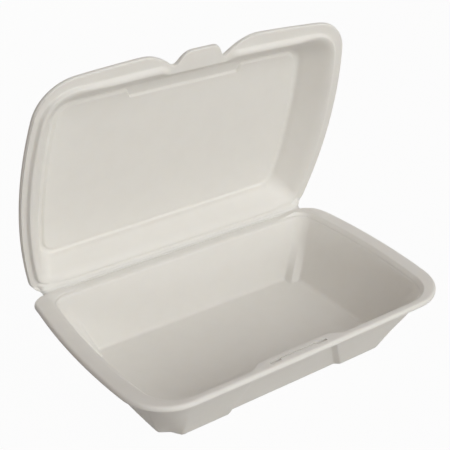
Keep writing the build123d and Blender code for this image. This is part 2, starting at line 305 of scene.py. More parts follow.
@dataclass(frozen=True)
class FoamFinish:
    """Extruded polystyrene foam: warm white, matt, with flattened cells under a thin skin."""

    name: str = "pressed_foam"
    colour: Colour = (0.82, 0.805, 0.775)
    shade: Colour = (0.812, 0.796, 0.765)  # the darker clouds
    cloud: float = 0.012  # metres across a cloud
    cloud_detail: float = 4.0
    cloud_span: Flat = (0.36, 0.58)  # noise values between which the colour changes
    roughness: float = 0.62
    cell: float = 0.0013  # metres across a cell
    cell_height: float = 0.00006
    cell_blur: float = 0.6
    skin: float = 3.2  # waves of the skin, in cells
    skin_detail: float = 3.0
    relief: float = 0.35
    sheen: float = 0.12
    sheen_roughness: float = 0.5
    glow: float = 0.12  # share of the light that spreads inside the foam
    glow_depth: float = 0.0035
    glow_colour: Colour = (1.0, 0.85, 0.65)

    def material(self) -> bpy.types.Material:
        """Material with clouded colour, cells and a soft skin.

        Returns:
            The new material.
        """
        material = bpy.data.materials.new(self.name)
        material.use_nodes = True
        nodes = material.node_tree.nodes
        link = material.node_tree.links.new
        shader = nodes["Principled BSDF"]
        place = nodes.new("ShaderNodeTexCoord")
        cloud = nodes.new("ShaderNodeTexNoise")
        set_inputs(cloud, {"Scale": 1 / self.cloud, "Detail": self.cloud_detail})
        link(place.outputs["Object"], cloud.inputs["Vector"])
        tone = nodes.new("ShaderNodeValToRGB")
        ends = zip(tone.color_ramp.elements, self.cloud_span, (self.shade, self.colour))
        for element, position, colour in ends:
            element.position = position
            element.color = (*colour, 1.0)
        link(cloud.outputs["Fac"], tone.inputs["Fac"])
        link(tone.outputs["Color"], shader.inputs["Base Color"])
        cells = nodes.new("ShaderNodeTexVoronoi")
        cells.feature = "SMOOTH_F1"
        set_inputs(cells, {"Scale": 1 / self.cell, "Smoothness": self.cell_blur})
        link(place.outputs["Object"], cells.inputs["Vector"])
        skin = nodes.new("ShaderNodeTexNoise")
        set_inputs(skin, {"Scale": 1 / (self.skin * self.cell), "Detail": self.skin_detail})
        link(place.outputs["Object"], skin.inputs["Vector"])
        relief = nodes.new("ShaderNodeMath")
        relief.operation = "SUBTRACT"
        link(skin.outputs["Fac"], relief.inputs[0])
        link(cells.outputs["Distance"], relief.inputs[1])
        bump = nodes.new("ShaderNodeBump")
        set_inputs(bump, {"Strength": self.relief, "Distance": self.cell_height})
        link(relief.outputs["Value"], bump.inputs["Height"])
        link(bump.outputs["Normal"], shader.inputs["Normal"])
        values = {
            "Roughness": self.roughness,
            "Sheen Weight": self.sheen,
            "Sheen Roughness": self.sheen_roughness,
            "Subsurface Weight": self.glow,
            "Subsurface Scale": self.glow_depth,
            "Subsurface Radius": self.glow_colour,
        }
        set_inputs(shader, values)
        return material


@dataclass
class PressedShell:
    """A foam half pressed out of one flat sheet.

    Its rings of points run from the middle of its inside over the rim to the middle of its outside.
    """

    name: str
    columns: Columns
    rings: list[Ring]
    merge: float = 0.000002  # points closer than this, in metres, become one
    levels: int = 1  # how many times the folds are softened

    def press(self, to_frame: Callable[[Point], Vector]) -> bpy.types.Object:
        """Adds a flat sheet and presses it to the rings.

        Args:
            to_frame: Gives the place in the frame, in metres, of a ring's point in millimetres.

        Returns:
            The shell, open at its two flat middles and not yet softened.
        """
        across = self.columns.total
        along = len(self.rings) - 1
        bpy.ops.object.select_all(action="DESELECT")
        bpy.ops.mesh.primitive_grid_add(x_subdivisions=across, y_subdivisions=along, size=1.0)
        shell = bpy.context.object
        shell.name = self.name
        shell.data.name = self.name
        for vertex in shell.data.vertices:
            column = round((vertex.co.x + 0.5) * across) % across
            row = round((vertex.co.y + 0.5) * along)
            vertex.co = to_frame(self.rings[row][column])
        bpy.ops.object.mode_set(mode="EDIT")
        bpy.ops.mesh.select_all(action="SELECT")
        bpy.ops.mesh.remove_doubles(threshold=self.merge)
        bpy.ops.object.mode_set(mode="OBJECT")
        return shell

    def soften(self, shell: bpy.types.Object) -> None:
        """Rounds the folds of a shell, closes its two flat middles and shades it smooth.

        Args:
            shell: The shell to finish.
        """
        bpy.context.view_layer.objects.active = shell
        rounding = shell.modifiers.new("soft_folds", "SUBSURF")
        rounding.levels = self.levels
        rounding.render_levels = self.levels
        bpy.ops.object.modifier_apply(modifier=rounding.name)
        bpy.ops.object.mode_set(mode="EDIT")
        bpy.ops.mesh.select_all(action="SELECT")
        bpy.ops.mesh.fill_holes(sides=0)
        bpy.ops.mesh.select_all(action="SELECT")
        bpy.ops.mesh.normals_make_consistent(inside=False)
        bpy.ops.object.mode_set(mode="OBJECT")
        bpy.ops.object.shade_smooth()


@dataclass(frozen=True)
class BoxSizes:
    """Sizes that both halves share, in millimetres and degrees."""

    rim_height: float = 48.5  # underside to the parting plane
    crease_y: float = 69.3
    crease_dip: float = 2.6  # crease below the parting plane
    open_angle: float = 76.25
    seam: float = 0.3
    wall: float = 2.8
    floor: float = 2.8
    crease_edge: float = 0.8  # foam left at the crease
    crease_slope: float = 5.0  # where the rims start to come down to the crease

    @property
    def crease_z(self) -> float:
        """Height of the crease above the underside."""
        return self.rim_height - self.crease_dip

    @property
    def rim_top(self) -> float:
        """Height of the tray's rim."""
        return self.rim_height - self.seam / 2


@dataclass
class Tray:
    """Lower half: a drafted, corner-pleated dish with a stepped rim and a lock slot in its front.

    Sizes are in millimetres, heights from the underside and places from the crease. Rows of heights,
    shares and degrees say where the rings of its surface lie.
    """

    sizes: BoxSizes

    # Rim
    rim_depth: float = 148.8
    rim_half_length: float = 121.0
    rim_widest: float = 70.0
    rim_front_bow: float = 0.6
    rim_side_bow: float = 6.5
    rim_front_corner: float = 31.5
    rim_ear: float = 13.4  # corner beside the crease
    edge_round: float = 2.0
    edge_turns: Steps = (0, 25, 50, 75, 90)
    under_round: float = 0.35
    under_shares: Steps = (0.2, 0.6, 1.0)
    root_flare: float = 0.5  # how far the rim's root stands out of the wall

    # Ears, which droop at the ends of the crease
    ear_start: float = 92.0
    ear_run: float = 14.0
    ear_depth: float = 22.0
    ear_droop: float = 1.8

    # Step and ledge inside the rim
    front_flange: float = 4.5
    side_flange: float = 10.3
    crease_flange: float = 6.0
    flange_shares: Steps = (0.05, 0.17, 0.4, 0.62)
    step_depth: float = 2.7
    step_run: float = 1.0
    side_step_run: float = 3.0
    step_front_corner: float = 24.0
    step_back_corner: float = 13.0
    # Steps of its profile: share of the run, share of the rise
    step_profile: Profile = ((0.02, 0.01), (0.2, 0.12), (0.5, 0.5), (0.8, 0.88), (0.97, 0.99))
    ledge: float = 2.2

    # Left side, where the step has gone soft
    soft_share: float = 0.55  # share of the step that has sagged
    soft_start: float = 70.0
    soft_front: float = 125.0
    soft_run: float = 30.0
    soft_fall: float = 1.5  # how fast the sag fades towards the edge

    # Rear, where the step fades out
    back_fade: float = 12.0
    back_run: float = 4.0
    back_lip: float = 0.25  # what is left of the step there
    back_end_run: float = 16.0

    # Walls and floor
    base_front: float = 51.6
    base_back: float = 51.5
    base_half_length: float = 90.0
    base_front_bow: float = 0.3
    base_side_bow: float = 2.0
    base_corner: float = 11.0
    base_round: float = 1.6
    base_turns: Steps = (70, 45, 20)
    base_margins: Steps = (0.5, 3.0)
    floor_round: float = 2.0
    floor_turns: Steps = (12, 34, 56, 78)
    floor_margins: Steps = (3.0, 0.8)
    inner_heights: Steps = (6.8, 9.0, 12.0, 16.0, 20.0, 24.0, 27.0, 29.0, 31.5, 35.0, 39.0, 42.0, 44.0)
    outer_heights: Steps = (44.4, 42.0, 38.0, 33.5, 29.0, 26.0, 22.0, 17.0, 12.0, 8.0, 4.5, 2.4)
    shoulder: Profile = ((45.0, 0.25), (45.45, 0.8))  # heights and steps out below the ledge
    shoulder_out: float = 1.6

    # Corner pleats and set-back front
    pleat_depth: float = 4.6
    back_pleat_depth: float = 7.4
    pleat_top: float = 29.0
    setback: float = 2.6
    setback_base: float = 43.0  # half length at the underside
    setback_top: float = 26.0  # half length at the ledge
    setback_runs: Flat = (1.5, 3.4)

    # Lock
    lock_x: float = -10.5
    lock_bar: float = 4.6  # how far the rim widens inwards
    lock_half_length: float = 27.0
    lock_slants: Flat = (7.0, 7.0)
    slot_half_length: float = 21.5
    slot_width: float = 1.9
    slot_inset: float = 4.0  # front edge to the slot
    slot_lap: float = 0.1  # how far the cuts run into each other
    slot_cut: float = 9.0  # height of the cuts
    tongue_half_length: float = 13.5
    tongue_slit: float = 0.7  # slit left beside the tongue

    columns: Columns = Columns(front=(14, 6, 52, 6, 14))

    def __post_init__(self) -> None:
        """Works out the outlines and heights."""
        box = self.sizes
        self.rim_under = box.rim_top - box.crease_dip - box.crease_edge
        self.ledge_z = box.rim_top - self.step_depth
        self.rim = Outline(
            front=-self.rim_depth,
            back=-box.seam / 2,
            half_length=self.rim_half_length,
            widest=-self.rim_widest,
            front_radius=bow_radius(self.rim_half_length, self.rim_front_bow),
            side_radius=bow_radius(self.rim_depth / 2, self.rim_side_bow),
            front_corner=self.rim_front_corner,
            back_corner=self.rim_ear,
        )
        self.step = Outline(
            front=self.rim.front + self.front_flange,
            back=-self.crease_flange,
            half_length=self.rim.half_length - self.side_flange,
            widest=self.rim.widest,
            front_radius=self.rim.front_radius - self.front_flange,
            side_radius=self.rim.side_radius - self.side_flange,
            front_corner=self.step_front_corner,
            back_corner=self.step_back_corner,
        )
        foot = self.step.inset(self.step_run)
        side_run = self.side_step_run - self.step_run
        self.step_foot = replace(foot, half_length=foot.half_length - side_run)
        self.brow = self.step.inset(self.step_run + self.ledge - box.wall)
        self.base = Outline(
            front=-box.crease_y - self.base_front,
            back=-box.crease_y + self.base_back,
            half_length=self.base_half_length,
            widest=-box.crease_y,
            front_radius=bow_radius(self.base_half_length, self.base_front_bow),
            side_radius=bow_radius((self.base_front + self.base_back) / 2, self.base_side_bow),
            front_corner=self.base_corner,
            back_corner=self.base_corner,
        )

    def wall_ring(self, height: float, inset: float) -> Ring:
        """Ring of the pleated wall with its set-back front.

        Args:
            height: Height above the underside.
            inset: Distance inside the outer face.

        Returns:
            The ring's points.
        """
        share = height / self.ledge_z
        outline = self.base.towards(self.brow, share).inset(inset)
        middle = self.lock_x * share
        half = lerp(self.setback_base, self.setback_top, share)
        left, right = self.setback_runs
        anchors = (middle - half - left, middle - half, middle + half, middle + half + right)
        pleat = max(1 - height / self.pleat_top, 0.0)
        flat = outline.ring(self.columns, anchors, pleat, (self.pleat_depth, self.back_pleat_depth))
        return self.push_front(flat, height, middle, half, self.setback_runs, self.setback)

    def push_front(
        self, flat: list[Flat], height: float, middle: float, half: float, runs: Flat, depth: float
    ) -> Ring:
        """Ring whose front is pushed inwards between slanted ends.

        Args:
            flat: The ring in plan.
            height: Height above the underside.
            middle: Middle of the pushed stretch.
            half: Half its length.
            runs: Length of its left and its right slanted end.
            depth: How far it is pushed.

        Returns:
            The ring's points.
        """
        points = []
        for index, (x, y) in enumerate(flat):
            if index < self.columns.front_count:
                run = runs[1] if x > middle else runs[0]
                y += depth * held((half + run - abs(x - middle)) / run)
            points.append((x, y, height))
        return points

    def rim_ring(
        self, outline: Outline, height: float, widened: float = 0.0, settle: float = 0.0
    ) -> Ring:
        """Ring of the rim, which widens inwards at the lock and slopes down to the crease.

        Args:
            outline: The ring's outline.
            height: Height above the underside.
            widened: How far it runs inwards at the lock.
            settle: How far it lies lower along the left side, where the step has gone soft.

        Returns:
            The ring's points.
        """
        box = self.sizes
        half = self.lock_half_length
        left, right = (half + slant for slant in self.lock_slants)
        anchors = (self.lock_x - left, self.lock_x - half, self.lock_x + half, self.lock_x + right)
        flat = outline.ring(self.columns, anchors)
        points = self.push_front(flat, height, self.lock_x, half, self.lock_slants, widened)
        drop = (box.crease_z - box.seam / 2 - box.rim_top) / (box.crease_slope - box.seam / 2)
        back_end = self.ear_start + self.back_end_run / 2
        sloped = []
        for x, y, z in points:
            ear = smooth((abs(x) - self.ear_start) / self.ear_run)
            ear *= smooth((y + self.ear_depth) / self.ear_depth)
            soft = smooth((-x - self.soft_start) / self.soft_run)
            soft *= smooth((y + self.soft_front) / self.soft_run)
            back = smooth((y + self.back_fade) / self.back_run)
            back *= smooth((back_end - abs(x)) / self.back_end_run)
            z -= self.ear_droop * ear + settle * soft
            z = lerp(z, min(z, self.ledge_z + self.back_lip), back)
            sloped.append((x, y, min(z, box.rim_top + drop * max(y + box.crease_slope, 0.0))))
        return sloped

    def inner_rings(self) -> list[Ring]:
        """Rings from the middle of the floor up the walls to the ledge.

        Returns:
            The rings in order.
        """
        floor, wall = self.sizes.floor, self.sizes.wall
        rings = [self.wall_ring(floor, wall + self.floor_round + margin) for margin in self.floor_margins]
        for degrees in self.floor_turns:
            inset, rise = quarter(self.floor_round, degrees)
            rings.append(self.wall_ring(floor + rise, wall + inset))
        rings += [self.wall_ring(height, wall) for height in self.inner_heights]
        rings += [self.wall_ring(height, wall - out) for height, out in self.shoulder]
        rings.append(self.wall_ring(self.ledge_z, wall - self.shoulder_out))
        return rings

    def rim_rings(self) -> list[Ring]:
        """Rings from the ledge over the step and the rim to the rim's underside.

        Returns:
            The rings in order.
        """
        top = self.sizes.rim_top
        sag = self.step_depth * self.soft_share
        rings = []
        for share, rise in self.step_profile:
            outline = self.step_foot.towards(self.step, share)
            height = lerp(self.ledge_z, top, rise)
            rings.append(self.rim_ring(outline, height, self.lock_bar, sag * rise))
        for share in self.flange_shares:
            outline = self.step.towards(self.rim.inset(self.edge_round), share)
            settle = sag * (1 - share) ** self.soft_fall
            rings.append(self.rim_ring(outline, top, self.lock_bar * (1 - share), settle))
        for degrees in self.edge_turns:
            inset, drop = quarter(self.edge_round, degrees)
            rings.append(self.rim_ring(self.rim.inset(inset), top - drop))
        rings.append(self.rim_ring(self.rim, self.rim_under + self.under_round))
        rings.append(self.rim_ring(self.rim.inset(self.under_round), self.rim_under))
        return rings

    def outer_rings(self) -> list[Ring]:
        """Rings from under the rim down the outer walls to the middle of the underside.

        Returns:
            The rings in order.
        """
        edge = self.rim_ring(self.rim, self.rim_under)
        root = self.wall_ring(self.rim_under, -self.root_flare)
        rings = []
        for share in self.under_shares:
            flat = [blend_points(outer[:2], inner[:2], share) for outer, inner in zip(edge, root)]
            rings.append([(x, y, self.rim_under) for x, y in flat])
        rings += [self.wall_ring(height, 0.0) for height in self.outer_heights]
        for degrees in self.base_turns:
            inset, rise = quarter(self.base_round, degrees)
            rings.append(self.wall_ring(rise, inset))
        rings += [self.wall_ring(0.0, self.base_round + margin) for margin in self.base_margins]
        return rings

    def to_frame(self, point: Point) -> Vector:
        """Place in the frame of a point measured from the crease and the underside."""
        return Vector((point[0], point[1] + self.sizes.crease_y, point[2])) * MM

    def cut_slot(self, shell: bpy.types.Object) -> None:
        """Cuts the lock slot, narrowed to a slit by its tongue.

        Args:
            shell: The tray to cut.
        """
        near = self.rim.front + self.slot_inset + self.sizes.crease_y
        far = near + self.slot_width
        middle = self.sizes.rim_top - self.sizes.crease_dip / 2
        left, right = self.lock_x - self.slot_half_length, self.lock_x + self.slot_half_length
        tongue_left = self.lock_x - self.tongue_half_length
        tongue_right = self.lock_x + self.tongue_half_length
        spans = (
            (left, tongue_left, near),
            (tongue_left - self.slot_lap, tongue_right + self.slot_lap, far - self.tongue_slit),
            (tongue_right, right, near),
        )
        for start, end, front in spans:
            bpy.ops.object.select_all(action="DESELECT")
            bpy.ops.mesh.primitive_cube_add(size=1.0)
            cutter = bpy.context.object
            place = Vector(((start + end) / 2, (front + far) / 2, middle)) * MM
            scale = Vector((end - start, far - front, self.slot_cut)) * MM
            cutter.data.transform(Matrix.Translation(place) @ Matrix.Diagonal((*scale, 1.0)))
            bpy.context.view_layer.objects.active = shell
            cut = shell.modifiers.new("slot", "BOOLEAN")
            cut.operation = "DIFFERENCE"
            cut.solver = "EXACT"
            cut.object = cutter
            bpy.ops.object.modifier_apply(modifier=cut.name)
            bpy.data.objects.remove(cutter)

    def build(self, material: bpy.types.Material) -> bpy.types.Object:
        """Models the tray and lets it stand for its solid.

        Args:
            material: The foam.

        Returns:
            The finished piece.
        """
        rings = self.inner_rings() + self.rim_rings() + self.outer_rings()
        press = PressedShell("foam_tray", self.columns, rings)
        shell = press.press(self.to_frame)
        press.soften(shell)
        self.cut_slot(shell)
        shade(shell)
        return finish_piece(shell, material, Body.TRAY)


@dataclass
class Lid:
    """Upper half: a shallow dish with a sunken top, a bead inside its rim and a tab between two notches.

    Sizes are in millimetres, of the shut lid: heights from the crease upwards, places from the crease. Rows
    of heights, shares and degrees say where the rings of its surface lie.
    """

    sizes: BoxSizes

    # Rim
    reach: float = 161.5
    half_length: float = 121.0
    widest: float = 75.0
    front_bow: float = 7.0
    side_bow: float = 11.4
    front_corner: float = 30.0
    back_corner: float = 9.5
    rim: float = 2.6
    edge_round: float = 1.3
    edge_turns: Steps = (10, 35, 60, 85)
    edge_trim: float = 0.75  # share of the rounding that the trimmed front has
    flange_start: float = 0.35  # distance outside the bead's foot
    flange_profile: Profile = ((0.25, 1.25), (0.6, 1.15), (0.88, 1.05))  # share, margin
    back_profile: tuple[Point, ...] = ((0.0, 0.3, 0.0), (0.35, 0.0, 0.2))  # inset, drop, margin
    root_profile: Profile = ((0.4, 0.5), (0.9, 0.8))  # share, margin
    strip_half_length: float = 106.6  # half length of the crease

    # Walls
    depth: float = 19.0  # parting plane to the underside of the top
    cove: Profile = ((21.45, 0.75), (21.0, 0.2), (20.3, 0.0))  # height, inset
    inner_heights: Steps = (18.0, 15.0, 12.0, 9.6, 7.8, 6.4, 5.2, 4.2, 3.5, 3.05, 2.8)
    outer_heights: Steps = (8.0, 10.5, 14.0, 18.0, 21.5)
    crown: Profile = ((22.8, 0.15), (23.5, 0.8))  # height, inset
    crown_inset: float = 1.6
    thin: float = 0.95  # how much thinner the top is than the tray's floor

    # Sunken panel in the top
    panel_front: float = 132.0
    panel_back: float = 15.5
    panel_half_length: float = 96.0
    panel_widest: float = 72.0
    panel_front_bow: float = 1.0
    panel_side_bow: float = 4.5
    panel_corner: float = 13.0
    panel_sink: float = 1.4
    panel_margin: float = 2.4
    panel_run: float = 1.2
    panel_margins: Steps = (5.0, 1.2, 0.25)
    panel_shares: Steps = (0.2, 0.8)
    ceiling_profile: Profile = ((2.2, 1.0), (2.0, 0.92), (1.5, 0.3))  # inset, share of the bay
    top_shares: Steps = (-0.1, 0.15, 0.85, 1.1)
    top_margins: Steps = (2.0, 6.0)

    # Middle of the panel's front, which steps in
    bay_half_length: float = 40.5
    bay_depth: float = -4.8
    bay_run: float = 2.0

    # Set of the foam: everything inside the rim lies to the left, and one corner reaches out
    shift: float = -1.4
    corner_reach: Flat = (-5.0, 2.8)
    still_edge: float = 1.5  # the rim's edge, which isn't shifted

    # Bead that seats in the tray, with profiles of place, rise and share of the crest's extra width
    bead_depth: float = 2.2
    bead_front: float = 152.6
    bead_flange: float = 5.6
    bead_front_bow: float = 3.0
    bead_front_corner: float = 24.0
    bead_back_corner: float = 12.0
    bead_run: float = 1.7
    bead_crest: float = 1.6
    bead_trim: float = 2.6  # first ring's distance behind the trimmed front
    bead_trim_step: float = 0.2  # how much less the next ring has
    crest_profile: tuple[Point, ...] = ((0.3, 0.0, 1.0), (0.7, 0.06, 0.8), (1.1, 0.24, 0.5))
    slope_profile: tuple[Point, ...] = ((0.5, 0.62, 0.2), (0.1, 0.9, 0.0), (-0.3, 1.0, 0.0))
    crest_wide: float = 1.5  # how much wider the crest is along the front
    crest_end: float = 88.0
    crest_fade: float = 24.0

    # Roll, the bead's rounded inner side, which stands proud at the rear
    roll: float = 2.6
    roll_rise: float = 4.4
    roll_inset: float = 1.3
    roll_proud: float = 1.7  # how far it stands out there
    roll_ends: Flat = (-98.0, 88.0)
    roll_taper: float = 10.0
    roll_fade: float = 8.0
    roll_start: float = 15.0
    roll_length: float = 7.0

    # Gap in the bead behind the tab
    bead_gap: float = 24.0
    bead_end: float = 9.0
    gap_above: float = 0.3  # rings up to this far over the rim are lifted
    gap_squeeze: float = 0.15  # what is left of their spacing
    gap_step: float = 0.3  # spacing of the bead's rings behind the rim
    gap_reach: float = 2.0  # the most that they move back
    gap_share: float = 0.9

    # Tab and notches, with half widths from the middle of the tab: at its end and at its root
    tab_x: float = -4.0
    tab_left: Flat = (10.5, 17.8)
    tab_right: Flat = (12.4, 17.0)
    tab_round: float = 8.0
    tab_short: float = 0.9  # tab's end behind the rim's front edge
    tab_push: float = 1.2  # how far the wall steps back behind it
    push_clear: float = 4.0  # rim in front of the tab's root that stays as it is
    notch_end: float = 33.0
    notch_depth: float = 12.4
    notch_round: Flat = (7.0, 3.5)
    notch_clear: float = 0.4  # notches end this far inside the wall's outer face
    notch_blend: float = 1.0
    shoulder_round: float = 9.0

    columns: Columns = Columns(front=(14, 3, 116, 3, 14))

    def __post_init__(self) -> None:
        """Works out the outlines and heights."""
        box = self.sizes
        self.foot = box.crease_dip + box.seam / 2
        self.under = self.foot + self.bead_depth
        self.top_of_rim = self.under + self.rim
        self.ceiling = box.crease_dip + self.depth
        self.top = self.ceiling + box.floor - self.thin
        self.edge = Outline(
            front=-self.reach,
            back=-box.seam / 2,
            half_length=self.half_length,
            widest=-self.widest,
            front_radius=bow_radius(self.half_length, self.front_bow),
            side_radius=bow_radius(self.reach / 2, self.side_bow),
            front_corner=self.front_corner,
            back_corner=self.back_corner,
        )
        self.bead = Outline(
            front=-self.bead_front,
            back=self.bead_run - box.crease_slope,
            half_length=self.half_length - self.bead_flange,
            widest=-self.widest,
            front_radius=bow_radius(self.half_length, self.bead_front_bow),
            side_radius=self.edge.side_radius - self.bead_flange,
            front_corner=self.bead_front_corner,
            back_corner=self.bead_back_corner,
        )
        self.panel = Outline(
            front=-self.panel_front,
            back=-self.panel_back,
            half_length=self.panel_half_length,
            widest=-self.panel_widest,
            front_radius=bow_radius(self.panel_half_length, self.panel_front_bow),
            side_radius=bow_radius((self.panel_front - self.panel_back) / 2, self.panel_side_bow),
            front_corner=self.panel_corner,
            back_corner=self.panel_corner,
        )
        self.mouth_front = self.wall(self.under).front
        self.sunk_inset = self.panel_margin + self.panel_run

    def depth_share(self, height: float) -> float:
        """How far a height lies from the parting plane up to the underside of the top, as a share."""
        return (height - self.foot) / (self.ceiling - self.foot)

    def wall(self, height: float) -> Outline:
        """Inner outline of the walls at a height."""
        mouth = self.bead.inset(self.bead_run + self.bead_crest)
        return mouth.towards(self.panel, self.depth_share(height))

    def at_roll(self, x: float, y: float) -> float:
        """How far a place lies on the proud rear of the roll, from 0 to 1.

        Args:
            x: Place along the box.
            y: Place across the box.

        Returns:
            The share.
        """
        start, end = self.roll_ends
        ends = smooth((x - start) / self.roll_taper) * smooth((end - x) / self.roll_taper)
        return smooth((y + self.roll_start) / self.roll_length) * ends

    def ring(self, outline: Outline, height: float, bay: float = 0.0) -> Ring:
        """Ring of the lid at one height.

        Args:
            outline: The ring's outline.
            height: Its height.
            bay: How far the middle of its front steps out, or in where it is negative.

        Returns:
            The ring's points.
        """
        root = self.bay_half_length + self.bay_run
        anchors = (-root, -self.bay_half_length, self.bay_half_length, root)
        deep = smooth(self.depth_share(height))
        low = max(1 - self.depth_share(height), 0.0)
        rolled = self.roll_proud * max(1 - (height - self.foot) / self.roll_fade, 0.0)
        shifted = outline.half_length < self.half_length - self.still_edge
        points = []
        for index, (x, y) in enumerate(outline.ring(self.columns, anchors)):
            if index < self.columns.front_count:
                y -= bay * held((root - abs(x)) / self.bay_run)
                inside = smooth((y + self.reach - self.push_clear) / self.push_clear)
                y += self.tab_push * self.gap(x) * low * inside
            if shifted:
                left = (self.panel_half_length - x) / (2 * self.panel_half_length)
                rear = (y - outline.front) / (outline.back - outline.front)
                x += self.shift + self.corner_reach[0] * deep * left * rear
                y += self.corner_reach[1] * deep * left * rear
            points.append((x, y, height - rolled * self.at_roll(x, y)))
        return points

    def front_share(self, index: int, x: float) -> float:
        """How much a column of a ring belongs to the straight front, from 0 to 1."""
        along = smooth((self.crest_end - abs(x)) / self.crest_fade)
        return along if index < self.columns.front_count else 0.0

    def gap(self, x: float) -> float:
        """How far the bead is left out at a place along the front, from 0 to 1."""
        return smooth((self.bead_gap - abs(x - self.tab_x)) / self.bead_end + 0.5)

    def rim_front(self, x: float) -> float:
        """Trimmed front edge of the rim, with the tab between its notches.

        Args:
            x: Place along the box.

        Returns:
            The edge's place across the box.
        """
        away = abs(x - self.tab_x)
        right = x > self.tab_x
        tab_end, tab_root = self.tab_right if right else self.tab_left
        root = -self.reach + self.notch_depth
        end = -self.reach + self.tab_short
        tab_slope = (root - end) / (tab_root - tab_end)
        notch_slope = self.notch_depth / (self.notch_end - tab_root)
        tab = soft_max(end, root - tab_slope * (tab_root - away), self.tab_round)
        shoulder = root - notch_slope * (away - tab_root)
        bottom = self.mouth_front - self.sizes.wall + self.notch_clear + self.tab_push * self.gap(x)
        cut = soft_min(tab, shoulder, self.notch_round[1] if right else self.notch_round[0])
        cut = soft_min(cut, bottom, self.notch_blend)
        return soft_max(self.edge.front_y(x), cut, self.shoulder_round)

    def trim(self, ring: Ring, margin: float) -> Ring:
        """Ring of the rim, kept behind its trimmed front edge.

        Args:
            ring: The ring before trimming.
            margin: How far behind the trimmed edge it stays.

        Returns:
            The trimmed ring.
        """
        points = []
        for index, (x, y, height) in enumerate(ring):
            if index < self.columns.front_count:
                y = max(y, self.rim_front(x) + margin)
            points.append((x, y, height))
        return points

    def slope_inside(self, ring: Ring) -> Ring:
        """Ring whose rear comes down to the crease on the inside, along the strip that is pressed thin.

        Args:
            ring: The ring before it is pressed.

        Returns:
            The sloped ring.
        """
        box = self.sizes
        fall = (box.seam / 2 - self.foot) / (box.crease_slope - box.seam / 2)
        points = []
        for x, y, height in ring:
            if y > -box.crease_slope and abs(x) <= self.strip_half_length:
                height = min(height, self.foot + fall * (y + box.crease_slope))
            points.append((x, y, height))
        return points

    def slope_outside(self, ring: Ring) -> Ring:
        """Ring whose rear comes down to the crease on the outside.

        Args:
            ring: The ring before it is pressed.

        Returns:
            The sloped ring.
        """
        box = self.sizes
        low = box.seam / 2 + box.crease_edge
        fall = (low - self.top_of_rim) / (box.crease_slope - box.seam / 2)
        points = []
        for x, y, height in ring:
            face = self.top_of_rim + fall * max(y + box.crease_slope, 0.0)
            points.append((x, y, min(height, face)))
        return points

    def inner_rings(self) -> list[Ring]:
        """Rings from the middle of the sunken top over its step and down the walls to the bead's crest.

        Returns:
            The rings in order.
        """
        sunk = self.ceiling - self.panel_sink
        rings = []
        for margin in self.panel_margins:
            rings.append(self.ring(self.panel.inset(self.sunk_inset + margin), sunk, self.bay_depth))
        for share in self.panel_shares:
            outline = self.panel.inset(self.panel_margin + self.panel_run * (1 - share))
            rings.append(self.ring(outline, lerp(sunk, self.ceiling, share), self.bay_depth))
        for inset, share in self.ceiling_profile:
            rings.append(self.ring(self.panel.inset(inset), self.ceiling, self.bay_depth * share))
        for height, inset in self.cove:
            rings.append(self.ring(self.wall(height).inset(inset), height))
        rings += [self.mouth_ring(height) for height in self.inner_heights]
        return rings

    def mouth_ring(self, height: float) -> Ring:
        """Ring of the inner wall, which flares into the roll and ends higher where the bead is left out.

        Args:
            height: Its height.

        Returns:
            The ring's points.
        """
        fall = max(1 - (height - self.foot) / self.roll_rise, 0.0)
        flare = self.roll * (1 - math.sqrt(max(1 - fall**2, 0.0)))
        plain = self.ring(self.wall(height).inset(self.roll_inset - flare), height)
        points = []
        for index, (x, y, h) in enumerate(plain):
            y += self.crest_wide * self.front_share(index, x) * flare / self.roll
            if index < self.columns.front_count and h < self.under + self.gap_above:
                squeezed = self.under + self.gap_squeeze * (h - self.foot)
                raised = lerp(h, max(h, squeezed), self.gap(x))
                y += self.wall(raised).front - self.wall(h).front
                h = raised
            points.append((x, y, h))
        return points

    def bead_rings(self) -> list[Ring]:
        """Rings over the bead's crest and down its outer slope to the rim.

        Returns:
            The rings in order.
        """
        edge = self.bead_run + self.bead_crest + self.roll_inset - self.roll
        crest = [(edge - out, rise, wide) for out, rise, wide in self.crest_profile]
        rings = []
        for step, (inset, rise, wide) in enumerate([*crest, *self.slope_profile]):
            plain = self.ring(self.bead.inset(inset), lerp(self.foot, self.under, rise))
            back = self.mouth_front - self.gap_step * (step + 1)
            level = []
            for index, (x, y, h) in enumerate(plain):
                if index < self.columns.front_count:
                    gap = self.gap(x)
                    y += self.crest_wide * wide * self.front_share(index, x)
                    y = lerp(y, min(back, y + self.gap_reach), gap * (1 - rise) * self.gap_share)
                    h = lerp(h, self.under, gap)
                level.append((x, y, h))
            margin = self.bead_trim - self.bead_trim_step * step
            rings.append(self.slope_inside(self.trim(level, margin)))
        return rings

    def rim_rings(self) -> list[Ring]:
        """Rings over the flat rim, its rounded edge and its back.

        Returns:
            The rings in order.
        """
        rings = []
        brim = self.edge.inset(self.edge_round)
        for share, margin in self.flange_profile:
            ring = self.ring(self.bead.inset(-self.flange_start).towards(brim, share), self.under)
            rings.append(self.slope_inside(self.trim(ring, margin)))
        for degrees in self.edge_turns:
            inset, rise = quarter(self.edge_round, degrees)
            ring = self.ring(self.edge.inset(inset), self.under + rise)
            rings.append(self.slope_inside(self.trim(ring, inset * self.edge_trim)))
        for inset, drop, margin in self.back_profile:
            ring = self.ring(self.edge.inset(inset), self.top_of_rim - drop)
            rings.append(self.slope_outside(self.trim(ring, margin)))
        root = self.wall(self.top_of_rim).inset(-self.sizes.wall)
        for share, margin in self.root_profile:
            ring = self.ring(self.edge.towards(root, share), self.top_of_rim)
            rings.append(self.slope_outside(self.trim(ring, margin)))
        return rings

